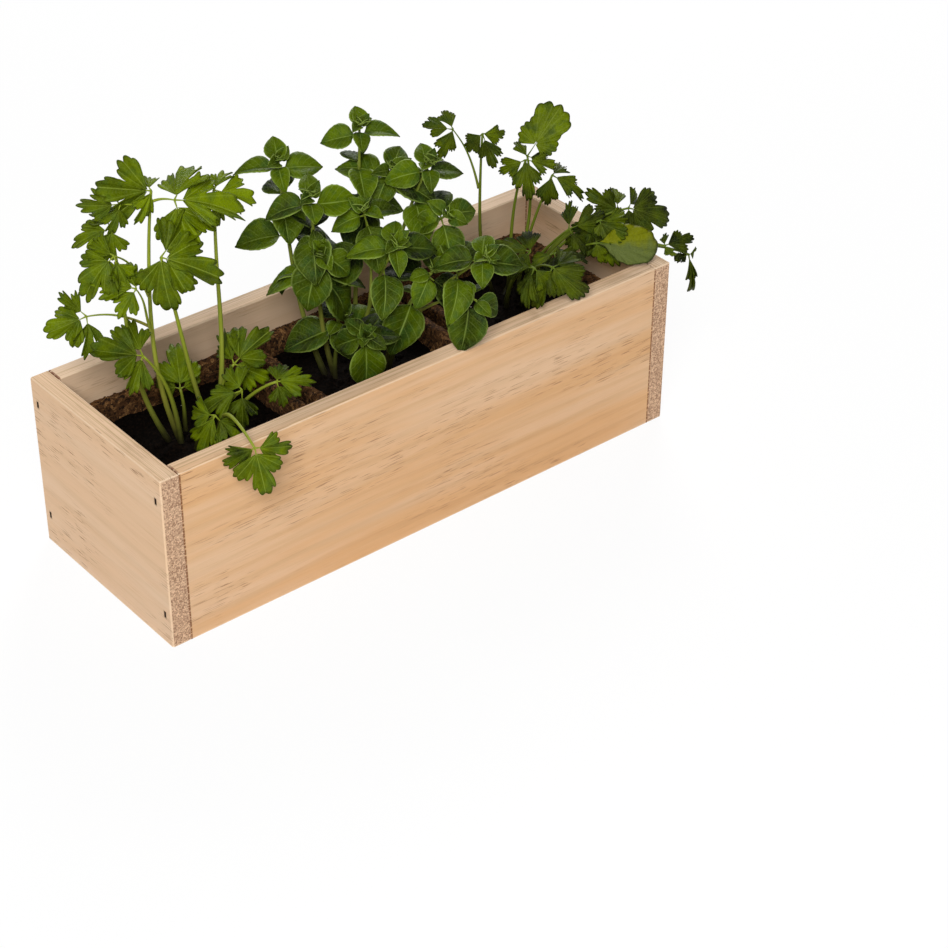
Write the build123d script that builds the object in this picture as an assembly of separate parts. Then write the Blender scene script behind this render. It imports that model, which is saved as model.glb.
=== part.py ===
"""Indoor herb planter: a nailed pine box that holds three square fibre pots of growing herbs.

Frame: +X along the box to the right, +Y to the rear, +Z up. The origin is on the standing
surface, under the middle of the box. Lengths are in millimetres and angles in degrees.
"""
from build123d import *
from collections import namedtuple
from math import cos, pi, radians, sin, tan
import os

os.makedirs("parts", exist_ok=True)

# Fibre pots, all three alike
POT_SIZE = 80.0
POT_HEIGHT = 64.0
POT_WALL = 4.5
POT_FLOOR = 4.0
POT_CORNER = 8.0
POT_TAPER = 2.0
COMPOST_BELOW_RIM = 10.0
COMPOST_FIT = 0.1

# Box, sized round the pots
POT_GAP = 5.5
END_ROOM = 5.5
SIDE_ROOM = 1.0
BOX_HEIGHT = 85.0
SIDE_BOARD = 9.0
END_BOARD = 9.0
BASE_THICKNESS = 4.0
BASE_REBATE = 4.5
BASE_FIT = 0.2
JOINT_GAP = 0.1
EDGE_EASE = 0.6

# Brads that hold the end boards to the side boards
BRAD_LENGTH = 22.0
BRAD_WIDTH = 1.4
BRAD_HEIGHT = 1.4
BRAD_HEAD_HEIGHT = 3.2
BRAD_HEAD_DEPTH = 1.0
BRAD_SUNK = 0.8
BRAD_FROM_BOTTOM = 15.0
BRAD_FROM_TOP = 12.0

# Herbs
ROOT_DEPTH = 5.0
MAIN_STEM_RADIUS = 1.3
BRANCH_RADIUS = 0.8
BLADE_THICKNESS = 0.5
STALK_WIDTH = 1.0
BASIL_BLADE_WIDTH = 0.66
BASIL_STALK = 0.12
LEAFLET_SPREAD = 72.0
LEAFLET_DROOP = 15.0
LIGHT_HEADING = 235.0
LIGHT_HEIGHT = 48.0
ROSETTE_LEAN = 34.0
LOWER_PAIR_LEAN = 20.0
LOWER_PAIR_STEP = 18.0

# Worked out from the sizes above
POT_PITCH = POT_SIZE + POT_GAP
INNER_LENGTH = 3 * POT_SIZE + 2 * POT_GAP + 2 * END_ROOM
INNER_WIDTH = POT_SIZE + 2 * SIDE_ROOM
BOX_LENGTH = INNER_LENGTH + 2 * END_BOARD
BOX_WIDTH = INNER_WIDTH + 2 * SIDE_BOARD
POT_RIM = BASE_THICKNESS + POT_HEIGHT
COMPOST_TOP = POT_RIM - COMPOST_BELOW_RIM
SIDE_MIDDLE = INNER_WIDTH / 2 + SIDE_BOARD / 2
END_MIDDLE = INNER_LENGTH / 2 + END_BOARD / 2


def block(x_size, y_size, z_size, x, y, z):
    """A box with its centre at x, y and its underside at z."""
    return Pos(x, y, z + z_size / 2) * Box(x_size, y_size, z_size)


# Brads: a T-shaped wire nail, drawn with its head at the origin and its point along +X
def brad(extra=0.0):
    head_length = BRAD_HEAD_DEPTH + extra
    head = Pos((BRAD_HEAD_DEPTH - extra) / 2, 0, 0) * Box(head_length, BRAD_WIDTH, BRAD_HEAD_HEIGHT)
    shank = Pos(BRAD_LENGTH / 2, 0, 0) * Box(BRAD_LENGTH, BRAD_WIDTH, BRAD_HEIGHT)
    return head + shank


def brad_places(end):
    """The four brads of one end board; end is -1 on the left and 1 on the right."""
    places = []
    for y in (-SIDE_MIDDLE, SIDE_MIDDLE):
        for z in (BRAD_FROM_BOTTOM, BOX_HEIGHT - BRAD_FROM_TOP):
            face = Pos(end * (BOX_LENGTH / 2 - BRAD_SUNK), y, z)
            places.append(face * Rot(0, 0, 180 if end > 0 else 0))
    return places


def brads(end):
    return Compound([place * brad() for place in brad_places(end)])


def without_brads(board, ends):
    for end in ends:
        for place in brad_places(end):
            board = board - place * brad(BRAD_SUNK)
    return board


# Box: the end boards cover the ends of the side boards, and the base sits in a rebate of the side boards
def side_board(side):
    length = INNER_LENGTH - 2 * JOINT_GAP
    board = block(length, SIDE_BOARD, BOX_HEIGHT, 0, side * SIDE_MIDDLE, 0)
    rebate_y = side * (INNER_WIDTH / 2 + BASE_REBATE / 2)
    board = board - block(length, BASE_REBATE, BASE_THICKNESS, 0, rebate_y, 0)
    top = board.edges().filter_by(Axis.X).group_by(Axis.Z)[-1]
    return without_brads(chamfer(top, EDGE_EASE), (-1, 1))


def end_board(end):
    board = block(END_BOARD, BOX_WIDTH, BOX_HEIGHT, end * END_MIDDLE, 0, 0)
    top = board.edges().group_by(Axis.Z)[-1]
    outer = board.edges().filter_by(Axis.Z).sort_by(Axis.X)
    outer = outer[-2:] if end > 0 else outer[:2]
    return without_brads(chamfer(top + outer, EDGE_EASE), (end,))


def base_panel():
    length = INNER_LENGTH - 2 * BASE_FIT
    width = INNER_WIDTH + 2 * BASE_REBATE - 2 * BASE_FIT
    return block(length, width, BASE_THICKNESS, 0, 0, 0)


# Pots: a tapered square cup with round corners, drawn down from its rim
def tapered(size, corner, height):
    outline = RectangleRounded(size, size, corner)
    return extrude(outline, amount=height, dir=(0, 0, -1), taper=POT_TAPER)


def fibre_pot(x):
    cup = tapered(POT_SIZE, POT_CORNER, POT_HEIGHT)
    hollow = tapered(POT_SIZE - 2 * POT_WALL, POT_CORNER - POT_WALL, POT_HEIGHT - POT_FLOOR)
    return Pos(x, 0, POT_RIM) * (cup - hollow)


def compost(x):
    inset = POT_WALL + COMPOST_FIT + COMPOST_BELOW_RIM * tan(radians(POT_TAPER))
    corner = POT_CORNER - inset
    depth = POT_HEIGHT - POT_FLOOR - COMPOST_BELOW_RIM
    fill = tapered(POT_SIZE - 2 * inset, corner, depth)
    return Pos(x, 0, COMPOST_TOP) * fill


# Herbs: each stem is one arc, and each blade is a thin plate at the end of a stem
Branch = namedtuple("Branch", "stem share")
Stem = namedtuple("Stem", "arc radius")
Blade = namedtuple("Blade", "foot along normal length shape")

# Each row: where the stem starts, as x and y on the compost from the pot's middle, or as a share of an
# earlier stem; its tip, as x and y from the pot's middle and the height over the box's rim; how far it
# bows; the heading and tilt of the end leaflet; the length of the end leaflet and of the side leaflets
PARSLEY = [
    ((-9, 4), (-14, 6, 94), -7, 152, 12, 24, 14),
    ((-12, 8), (-30, 12, 80), -6, 160, -5, 17, 13),
    (Branch(0, 0.93), (-27, 9, 91), 1, 158, 3, 17, 13),
    (Branch(0, 0.62), (-37, 0, 75), 3, 172, -25, 20, 15),
    (Branch(0, 0.46), (-33, -8, 62), 2, 150, 25, 19, 14),
    (Branch(0, 0.96), (-9, -3, 92), 1, 328, -4, 28, 24),
    ((7, 6), (-24, -14, 76), -2, 322, -18, 27, 23),
    ((11, 9), (13, 2, 87), -3, 328, -14, 18, 14),
    (Branch(0, 0.50), (-41, 20, 39), 3, 165, -12, 20, 15),
    ((-11, 2), (-29, -2, 26), 5, 155, 10, 22, 17),
    ((-5, 8), (-5, 10, -6), 1, 60, 50, 20, 14),
    ((8, 2), (14, -4, 6), 3, 350, 40, 22, 18),
    ((6, -6), (19, -28, 7), 6, 325, -2, 16, 12),
    ((4, -3), (8, -18, 2), 4, 160, -8, 19, 15),
    ((-8, -4), (-10, -24, 0), 3, 195, -45, 18, 15),
    ((0, -6), (-15, -60, 5), 15, 262, -62, 20, 16),
]

CORIANDER = [
    ((4, 12), (18, 10, 42), -8, 345, 55, 27, 10),
    ((4, 14), (-4, 16, 58), -5, 262, -50, 16, 12),
    (Branch(1, 0.70), (-13, 26, 59), 2, 150, 10, 16, 13),
    ((8, 10), (10, 2, 46), 3, 240, -50, 17, 14),
    ((12, 8), (21, -4, 37), 3, 320, -35, 18, 15),
    ((16, 6), (48, -20, 17), 10, 140, 30, 16, 14),
    ((17, 5), (50, -25, 19), 11, 325, -16, 22, 13),
    ((17, 3), (54, -46, 7), 13, 330, 15, 14, 7),
    ((18, 2), (66, -50, 0), 16, 300, -79, 21, 7),
    ((16, 4), (25, -31, 12), 7, 327, -6, 30, 9),
    ((6, 0), (-13, -44, 19), 8, 300, -40, 22, 18),
    ((0, 2), (-22, -42, 21), 8, 190, -45, 19, 15),
    ((2, 6), (-14, -30, 21), 4, 150, 30, 17, 14),
    ((12, 6), (18, -20, 17), 5, 325, 20, 19, 15),
    ((9, 2), (4, -26, 12), 4, 240, -10, 18, 15),
    ((14, 2), (33, -24, 18), 7, 258, -42, 24, 18),
]

# Each row: start, tip and bow as above; the heading and tilt of the rosette's outer pair of leaves;
# the length of those leaves; how many more pairs stand below the rosette
BASIL = [
    ((-15, 6), (-25, 24, 76), -5, 330, 0, 19, 2),
    ((-12, 4), (-24, 3, 67), -3, 150, 0, 20, 2),
    ((2, 8), (11, 14, 85), 2, 150, 0, 17, 2),
    ((10, 4), (29, -11, 71), 4, 155, 0, 18, 1),
    ((-4, 0), (-2, -28, 50), 5, 330, -5, 20, 1),
    ((8, -6), (28, -51, 43), 8, 320, -5, 20, 1),
    (Branch(4, 0.50), (-4, -8, 58), 2, 250, -15, 23, 1),
    (Branch(1, 0.45), (-26, -6, 45), 2, 210, -30, 24, 1),
    ((-14, 2), (-13, 0, 4), 1, 165, -20, 26, 0),
    ((-8, -8), (-22, -31, 14), 4, 240, -40, 25, 0),
    ((4, -8), (15, -31, 32), 4, 300, -25, 24, 1),
    (Branch(5, 0.45), (23, -51, 24), 3, 225, -40, 24, 0),
    (Branch(3, 0.50), (29, -24, 52), 2, 250, -30, 23, 0),
    (Branch(2, 0.55), (19, 2, 66), 2, 300, -10, 24, 1),
]

# Pairs of leaves in one basil rosette: turn, lift, share of the leaf's length, distance below the tip
ROSETTE = [
    (0, 0, 1.0, 4.0),
    (90, 12, 0.66, 2.0),
    (45, 45, 0.42, 1.0),
]


def direction(heading, tilt):
    """The blade's axis and the normal of its upper side, before it turns to the light."""
    h = radians(heading)
    t = radians(tilt)
    along = Vector(cos(t) * cos(h), cos(t) * sin(h), sin(t))
    normal = Vector(-sin(t) * cos(h), -sin(t) * sin(h), cos(t))
    return along, normal


LIGHT = direction(LIGHT_HEADING, LIGHT_HEIGHT)[0]
LEAN_AXIS = Axis((0, 0, 0), (-sin(radians(LIGHT_HEADING)), cos(radians(LIGHT_HEADING)), 0))
UP = Vector(0, 0, 1)


def stem_from(row, stems, pot_x):
    """The arc of one row's stem, and whether it grows from the compost or from an earlier stem."""
    start, tip, bow = row[:3]
    if isinstance(start, Branch):
        foot = stems[start.stem].arc @ start.share
        radius = BRANCH_RADIUS
    else:
        foot = Vector(pot_x + start[0], start[1], COMPOST_TOP - ROOT_DEPTH)
        radius = MAIN_STEM_RADIUS
    end = Vector(pot_x + tip[0], tip[1], BOX_HEIGHT + tip[2])
    chord = (end - foot).normalized()
    lift = (UP - chord * UP.dot(chord)).normalized()
    return Stem(ThreePointArc(foot, (foot + end) * 0.5 + lift * bow, end), radius)


def compound_leaf(row, stem):
    """An end leaflet and two side leaflets, turned to the light."""
    heading, tilt, end_length, side_length = row[3:]
    tip = stem.arc @ 1
    along = direction(heading, tilt)[0]
    normal = (LIGHT - along * LIGHT.dot(along)).normalized()
    across = normal.cross(along)
    spread = radians(LEAFLET_SPREAD)
    droop = radians(LEAFLET_DROOP)
    blades = [Blade(tip, along, normal, end_length, lobed_outline)]
    for hand in (1, -1):
        outward = across * (hand * cos(droop)) - normal * sin(droop)
        upper = normal * cos(droop) + across * (hand * sin(droop))
        side_along = along * cos(spread) + outward * sin(spread)
        blades.append(Blade(tip, side_along, upper, side_length, lobed_outline))
    return blades


def leaf_pair(foot, heading, tilt, lean, length):
    blades = []
    for turn in (0, 180):
        along, normal = direction(heading + turn, tilt)
        along = along.rotate(LEAN_AXIS, lean)
        normal = normal.rotate(LEAN_AXIS, lean)
        blades.append(Blade(foot + along * (BRANCH_RADIUS / 2), along, normal, length, ovate_outline))
    return blades


def rosette(row, stem):
    """Crossed pairs of leaves at the stem's tip, and wider pairs below it, each a quarter turn on."""
    heading, tilt, length, lower_pairs = row[3:]
    height = stem.arc.length
    blades = []
    for turn, lift, share, below in ROSETTE:
        foot = stem.arc @ (1 - below / height)
        blades += leaf_pair(foot, heading + turn, tilt + lift, ROSETTE_LEAN, length * share)
    for k in range(1, round(lower_pairs) + 1):
        foot = stem.arc @ (1 - k * LOWER_PAIR_STEP / height)
        wider = length * (1.02 + 0.1 * k)
        blades += leaf_pair(foot, heading + 90 * k, tilt - 12, LOWER_PAIR_LEAN, wider)
    return blades


def ovate_outline(length):
    """Half of a basil leaf: a short stalk, then a blade that is widest below its middle."""
    steps = 6
    half = [(0, STALK_WIDTH / 2)]
    for i in range(steps):
        t = i / steps
        bulge = BASIL_BLADE_WIDTH / 2 * length * sin(pi * t ** 0.85)
        half.append((length * (BASIL_STALK + (1 - BASIL_STALK) * t), STALK_WIDTH / 2 * (1 - t) + bulge))
    return half, (length, 0)


def lobed_outline(length):
    """Half of a leaflet: a narrow foot, one side lobe and half of the middle lobe."""
    half = [(0, STALK_WIDTH / 2)]
    for u, v in ((0.18, 0.05), (0.36, 0.26), (0.56, 0.44), (0.76, 0.42), (0.64, 0.17), (0.86, 0.19)):
        half.append((u * length, v * length))
    return half, (length, 0)


def blade_solid(blade):
    half, tip = blade.shape(blade.length)
    points = half + [tip] + [(u, -v) for u, v in reversed(half)]
    face = make_face(Polyline(points, close=True))
    plane = Plane(origin=blade.foot, x_dir=blade.along, z_dir=blade.normal)
    return extrude(plane * face, amount=BLADE_THICKNESS / 2, both=True)


def stem_solid(stem):
    section = Plane(origin=stem.arc @ 0, z_dir=stem.arc % 0) * Circle(stem.radius)
    return sweep(section, path=stem.arc)


def herb(rows, leaves_of, pot_x):
    """All stems and all blades of one pot's herb."""
    stems = []
    blades = []
    for row in rows:
        stem = stem_from(row, stems, pot_x)
        stems.append(stem)
        blades += leaves_of(row, stem)
    return Compound([stem_solid(s) for s in stems]), Compound([blade_solid(b) for b in blades])


# Write each piece as its own node
def save(name, shape):
    export_step(shape, os.path.join("parts", name + ".step"))
    print(name, len(shape.solids()), "solids", round(shape.volume), "mm3")


save("front_board", side_board(-1))
save("rear_board", side_board(1))
save("left_end_board", end_board(-1))
save("right_end_board", end_board(1))
save("base_panel", base_panel())
save("left_end_brads", brads(-1))
save("right_end_brads", brads(1))

POTS = [
    ("parsley", PARSLEY, compound_leaf, -POT_PITCH),
    ("basil", BASIL, rosette, 0.0),
    ("coriander", CORIANDER, compound_leaf, POT_PITCH),
]
for herb_name, rows, leaves_of, pot_x in POTS:
    stems, leaves = herb(rows, leaves_of, pot_x)
    save(herb_name + "_fibre_pot", fibre_pot(pot_x))
    save(herb_name + "_compost", compost(pot_x))
    save(herb_name + "_stems", stems)
    save(herb_name + "_leaves", leaves)
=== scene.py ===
# %% [markdown]
# # An indoor herb planter
# The CAD model gives the sizes, the places and what moves. This lesson gives the looks: planed pine boards,
# felted coir pots, dark compost, and three herbs whose stalks and leaves are grown along the plain CAD ones.
# Each step first says what the real thing is and how it could be made, and then makes it in short cells.

# %% Load the frame
import math
import random
from collections import namedtuple

import bmesh
import bpy
import numpy as np
from mathutils import Matrix, Vector, noise


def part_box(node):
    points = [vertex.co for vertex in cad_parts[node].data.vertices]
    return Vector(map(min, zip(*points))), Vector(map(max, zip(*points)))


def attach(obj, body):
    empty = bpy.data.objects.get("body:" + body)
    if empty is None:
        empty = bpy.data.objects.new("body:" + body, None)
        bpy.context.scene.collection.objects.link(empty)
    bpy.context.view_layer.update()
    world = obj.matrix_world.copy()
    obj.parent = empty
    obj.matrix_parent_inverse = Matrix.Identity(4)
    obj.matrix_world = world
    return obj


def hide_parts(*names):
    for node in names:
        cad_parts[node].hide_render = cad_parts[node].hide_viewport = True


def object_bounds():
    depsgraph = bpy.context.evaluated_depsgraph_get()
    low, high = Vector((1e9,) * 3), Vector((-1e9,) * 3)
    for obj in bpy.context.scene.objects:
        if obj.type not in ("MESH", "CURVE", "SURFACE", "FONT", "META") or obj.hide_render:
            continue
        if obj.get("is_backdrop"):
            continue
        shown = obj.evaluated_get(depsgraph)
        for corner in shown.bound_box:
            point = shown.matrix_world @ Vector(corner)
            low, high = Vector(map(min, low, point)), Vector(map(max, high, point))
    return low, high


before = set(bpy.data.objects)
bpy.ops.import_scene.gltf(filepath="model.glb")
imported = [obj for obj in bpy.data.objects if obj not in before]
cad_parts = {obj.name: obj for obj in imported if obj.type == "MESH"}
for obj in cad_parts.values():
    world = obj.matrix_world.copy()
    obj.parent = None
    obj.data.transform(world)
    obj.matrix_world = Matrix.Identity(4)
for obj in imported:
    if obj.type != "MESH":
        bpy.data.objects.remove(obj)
cad_low, cad_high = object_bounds()
MM = 0.001
TO_MM = 1000.0
HERBS = ("parsley", "basil", "coriander")

# %% [markdown]
# ## Camera
# The photograph was taken from the front left and above, with a fairly long lens, so the box's edges run
# nearly parallel. A camera can be aimed with a constraint, but a fitted one is clearer as three axes: what
# points right, what points up and what points back at the viewer are the columns of its matrix.

# %% Camera
CAMERA_AT = Vector((-0.5403, -0.7264, 0.6344))
CAMERA_TURN = math.radians(-39.803)
CAMERA_RISE = math.radians(35.034)
CAMERA_ROLL = math.radians(0.5)
CAMERA_LENS = 90.45
CAMERA_SENSOR = 36.0
CAMERA_NEAR = 0.05


def camera_axes(turn, rise, roll):
    back = Vector((math.sin(turn) * math.cos(rise), -math.cos(turn) * math.cos(rise), math.sin(rise)))
    level = Vector((math.cos(turn), math.sin(turn), 0))
    steep = back.cross(level)
    right = level * math.cos(roll) + steep * math.sin(roll)
    up = steep * math.cos(roll) - level * math.sin(roll)
    return Matrix((right, up, back)).transposed()


aim = camera_axes(CAMERA_TURN, CAMERA_RISE, CAMERA_ROLL)
camera = bpy.data.objects.new("camera", bpy.data.cameras.new("camera"))
camera.data.lens = CAMERA_LENS
camera.data.sensor_width = CAMERA_SENSOR
camera.data.clip_start = CAMERA_NEAR
camera.matrix_world = Matrix.Translation(CAMERA_AT) @ aim.to_4x4()
bpy.context.collection.objects.link(camera)
bpy.context.scene.camera = camera
print("camera:", [round(x, 3) for x in camera.location], "lens", camera.data.lens)

# %% [markdown]
# ## Shader sums
# A pattern such as wood grain is a formula of the place on the surface. Wiring Math nodes by hand hides the
# formula, so a small class wraps a socket: a sum or a product of wrapped sockets adds its own Math nodes.


# %% A wire
class Wire:
    """One output of a finish's nodes. A sum on wires adds Math nodes."""

    def __init__(self, finish, socket):
        self.finish = finish
        self.socket = socket

    def worked(self, operation, *values):
        return self.finish.node("Math", {"operation": operation}, dict(enumerate(values)))

    def __add__(self, other):
        return self.worked("ADD", self, other)

    def __radd__(self, other):
        return self.worked("ADD", other, self)

    def __sub__(self, other):
        return self.worked("SUBTRACT", self, other)

    def __rsub__(self, other):
        return self.worked("SUBTRACT", other, self)

    def __mul__(self, other):
        return self.worked("MULTIPLY", self, other)

    def __rmul__(self, other):
        return self.worked("MULTIPLY", other, self)

    def __truediv__(self, other):
        return self.worked("DIVIDE", self, other)

    def __rtruediv__(self, other):
        return self.worked("DIVIDE", other, self)

    def __abs__(self):
        return self.worked("ABSOLUTE", self)

    def fraction(self):
        return self.worked("FRACT", self)

    def root(self):
        return self.worked("SQRT", self)

    def rise(self, low, high):
        """0 below low, 1 above high, and a smooth slope between."""
        ends = {"Value": self, "From Min": low, "From Max": high}
        return self.finish.node("MapRange", {"interpolation_type": "SMOOTHSTEP"}, ends)


print("wires: sums, products, quotients, fractions, roots and slopes")

# %% [markdown]
# ## Finishes
# A material is a tree of nodes with a shader at its end. One class keeps the tree. A single method adds any
# node, with its settings before its sockets, and short ones give the patterns that this object needs. Colours
# and vectors go through nodes of their own, because a Math node would turn a colour grey. The world's light
# is a tree of the same kind, so it is made as a finish too.


# %% A finish
class Finish:
    """The nodes of a material, or of the world: one shader and what feeds it."""

    def __init__(self, name, store=bpy.data.materials, shader="Principled BSDF"):
        self.made = store.new(name)
        self.made.use_nodes = True
        self.tree = self.made.node_tree
        self.shader = self.tree.nodes[shader]

    def feed(self, socket, value):
        if isinstance(value, Wire):
            self.tree.links.new(value.socket, socket)
        elif socket.type == "RGBA":
            socket.default_value = (*value, 1.0)
        else:
            socket.default_value = value

    def node(self, kind, settings=None, sockets=None, out=0):
        """Adds a node, sets its settings, then feeds its sockets, and gives one of its outputs."""
        made = self.tree.nodes.new("ShaderNode" + kind)
        for name, value in (settings or {}).items():
            setattr(made, name, value)
        for name, value in (sockets or {}).items():
            self.feed(made.inputs[name], value)
        return Wire(self, made.outputs[out])

    def set(self, **sockets):
        """Feeds the shader; an underscore in a name stands for a space."""
        for name, value in sockets.items():
            self.feed(self.shader.inputs[name.replace("_", " ")], value)

    def vector(self, x, y, z):
        return self.node("CombineXYZ", None, {0: x, 1: y, 2: z})

    def parts(self, vector):
        split = self.node("SeparateXYZ", None, {0: vector}).socket.node
        return [Wire(self, output) for output in split.outputs]

    def place(self):
        """The place on the object in millimetres, as a vector."""
        metres = self.node("TexCoord", None, None, "Object")
        return self.node("VectorMath", {"operation": "SCALE"}, {0: metres, "Scale": TO_MM})

    def marks(self):
        """The three values that a piece's mesh keeps at each point."""
        return self.parts(self.node("Attribute", {"attribute_name": "marks"}, None, "Vector"))

    def noise(self, vector, detail=2.0, roughness=0.5, scale=1.0):
        sockets = {"Vector": vector, "Scale": scale, "Detail": detail, "Roughness": roughness}
        return self.node("TexNoise", None, sockets)

    def flecks(self, vector, scale=1.0):
        """Small cells, each with a value of its own from 0 to 1."""
        return self.parts(self.node("TexVoronoi", None, {"Vector": vector, "Scale": scale}, "Color"))[0]

    def mix(self, factor, first, second):
        return self.node("Mix", {"data_type": "RGBA"}, {0: factor, 6: first, 7: second}, 2)

    def bump(self, height, depth, strength=1.0):
        """Lets a pattern of heights from 0 to 1 stand up by a depth in metres."""
        normal = self.node("Bump", None, {"Strength": strength, "Distance": depth, "Height": height})
        self.set(Normal=normal)

    def looked_at(self):
        """1 where the camera, a gloss or a glass looks straight at the surface, and 0 for other light."""
        path = self.node("LightPath").socket.node.outputs
        straight, glossy, through = (path[f"Is {ray} Ray"] for ray in ("Camera", "Glossy", "Transmission"))
        return Wire(self, straight) + Wire(self, glossy) + Wire(self, through)


def seen(red, green, blue):
    """A colour as it looks on a screen, from 0 to 255, as amounts of light."""
    return tuple(((c / 255 + 0.055) / 1.055) ** 2.4 if c > 10 else c / 3295 for c in (red, green, blue))


print("finishes: a screen's middle grey is", round(seen(128, 128, 128)[0], 3), "of the light")

# %% [markdown]
# ## Light
# The photograph has the even light of a studio: a large soft box at the front left, high up, and pale walls
# that fill the shadows. A large area lamp and a plain world do the same, and a weaker lamp at the back right
# keeps the rear from going black. A small lamp would be simpler, but its shadows would have hard edges.

# %% Lamps and world
WINDOW = Vector((-0.52, -0.56, 0.64)).normalized()
REAR_WALL = Vector((0.60, 0.62, 0.50)).normalized()
SOFT_BOX_AWAY = 1.8
SOFT_BOX_SIZE = 0.7
SOFT_BOX_WATTS = 29.5
REAR_WATTS = 19.0
WORLD_LEVEL = 0.20
WHITE = (1.0, 1.0, 1.0)


def soft_box(name, side, watts):
    lamp = bpy.data.lights.new(name, "AREA")
    lamp.shape = "SQUARE"
    lamp.size = SOFT_BOX_SIZE
    lamp.energy = watts
    hung = bpy.data.objects.new(name, lamp)
    hung.location = (cad_low + cad_high) / 2 + side * SOFT_BOX_AWAY
    hung.rotation_mode = "QUATERNION"
    hung.rotation_quaternion = side.to_track_quat("Z", "Y")
    bpy.context.collection.objects.link(hung)


def world_light():
    """White where it is looked at, and softer as light."""
    studio = Finish("studio", bpy.data.worlds, "Background")
    level = studio.node("MapRange", None, {"Value": studio.looked_at(), "To Min": WORLD_LEVEL})
    studio.set(Color=WHITE, Strength=level)
    return studio.made


soft_box("soft_box", WINDOW, SOFT_BOX_WATTS)
soft_box("rear_soft_box", REAR_WALL, REAR_WATTS)
bpy.context.scene.world = world_light()
bpy.context.scene.view_settings.view_transform = "Standard"
print("light: soft boxes", SOFT_BOX_WATTS, "and", REAR_WATTS, "W, world", WORLD_LEVEL)

# %% [markdown]
# ## Floor
# The floor is white to the eye, but it still takes the box's soft shadow. White paper alone would look grey
# in this light, and a plain glow would have no shadow. So it is both: most of what is seen directly is glow,
# and all the rest is lit as paper is.

# %% Floor
FLOOR_SIZE = 30.0
FLOOR_GLOW = 0.9
FLOOR_PAPER = (0.95, 0.95, 0.95)


def floor():
    paper = Finish("floor_paper")
    paper.set(Base_Color=FLOOR_PAPER, Roughness=0.9, Specular_IOR_Level=0.0)
    lit = Wire(paper, paper.shader.outputs[0])
    glow = paper.node("Emission", None, {"Color": WHITE, "Strength": 1.0})
    both = paper.node("MixShader", None, {0: paper.looked_at() * FLOOR_GLOW, 1: lit, 2: glow})
    paper.feed(paper.tree.nodes["Material Output"].inputs["Surface"], both)
    half = FLOOR_SIZE / 2
    corners = [(-half, -half, 0), (half, -half, 0), (half, half, 0), (-half, half, 0)]
    mesh = bpy.data.meshes.new("floor")
    mesh.from_pydata(corners, [], [(0, 1, 2, 3)])
    mesh.materials.append(paper.made)
    sheet = bpy.data.objects.new("floor", mesh)
    bpy.context.collection.objects.link(sheet)
    sheet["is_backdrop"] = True


floor()
print("floor:", FLOOR_SIZE, "m wide")

# %% [markdown]
# ## Worn and lit edges and brad slots
# The boards' edges are eased and worn pale, and the pale edge is also a painted highlight where the eased
# edges catch the light. Over each sunk brad the wood is dark in its slot, and a little darker on the face
# round it. Both are worked out from the boxes of the CAD nodes, so that they stay in place if a board changes
# its size. A painted mask would look the same, but it would fit one size only.

# %% Worn and lit edges and brad slots
SIDE_BOARD_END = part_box("front_board")[1].x / MM
EDGE_EASE = (0.75, 0.25)
CORNER_FROM = (1.0, 2.0)
CORNER_WEAR_AND_LIGHT = 0.4
BRAD_HALF = (0.7, 1.6)
BRAD_FADE = (0.7, 0.8)
FACE_SKIN = (0.15, 0.03)
FACE_FADE = 0.6


def worn_and_lit_edges(node, place):
    """1 along the eased edges of a board, worn pale and painted lighter as a highlight: its top edges, and
    less at an end board's outer corners.
    """
    near = []
    for at, low, high in zip(place, *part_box(node)):
        half = (high - low) / 2 / MM
        near.append(abs(at - (low + high) / 2 / MM).rise(half - EDGE_EASE[0], half - EDGE_EASE[1]))
    outer = abs(place[0]).rise(SIDE_BOARD_END + CORNER_FROM[0], SIDE_BOARD_END + CORNER_FROM[1])
    return (near[0] + near[1]) * near[2] + near[0] * near[1] * outer * CORNER_WEAR_AND_LIGHT


def brad_slots(node, place):
    """1 in the slots over an end board's brads, and less round them on its face."""
    x, y, z = place
    low, high = (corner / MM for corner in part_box(node.replace("board", "brads")))
    face = max(abs(corner.x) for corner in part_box(node)) / MM
    middle = (low.z + high.z) / 2
    wide, tall = BRAD_HALF
    aside = abs(abs(y) - (high.y - wide)).rise(wide, wide + BRAD_FADE[0])
    over = abs(abs(z - middle) - (high.z - middle - tall)).rise(tall, tall + BRAD_FADE[1])
    faint = abs(x).rise(face - FACE_SKIN[0], face - FACE_SKIN[1]) * FACE_FADE
    return (1.0 - aside) * (1.0 - over) * (1.0 - faint)


print("side boards end at", round(SIDE_BOARD_END, 1), "mm")

# %% [markdown]
# ## Pine
# The boards are planed softwood, pale with honey bands. A tree's rings are shells round its heart, so the
# distance from a line that runs along the grain gives them on every face at once, and the ends of the boards
# show them cut across. Fine fibres are a noise that is stretched along the grain, so that they are streaks on
# a face and specks on an end. Short dark dashes are the resin canals. Painting each face would be quicker,
# but then the grain wouldn't go round the edges.

# %% Pine
PINE_PALE = seen(222, 195, 167)
PINE_HONEY = seen(210, 158, 102)
PINE_LATE = seen(170, 126, 80)
PINE_DASH = seen(118, 72, 38)
PINE_WORN_AND_LIT = seen(234, 211, 182)
PINE_END_PALE = seen(236, 199, 164)
PINE_END_DARK = seen(106, 62, 36)
PINE_EDGE_LINE = seen(158, 128, 78)
SEAM_SHADOW = seen(112, 62, 26)
BRAD_SLOT = seen(24, 12, 5)
RING_WIDTH = 5.0
RING_WANDER = 9.0
FACING = (0.75, 0.95)


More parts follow.
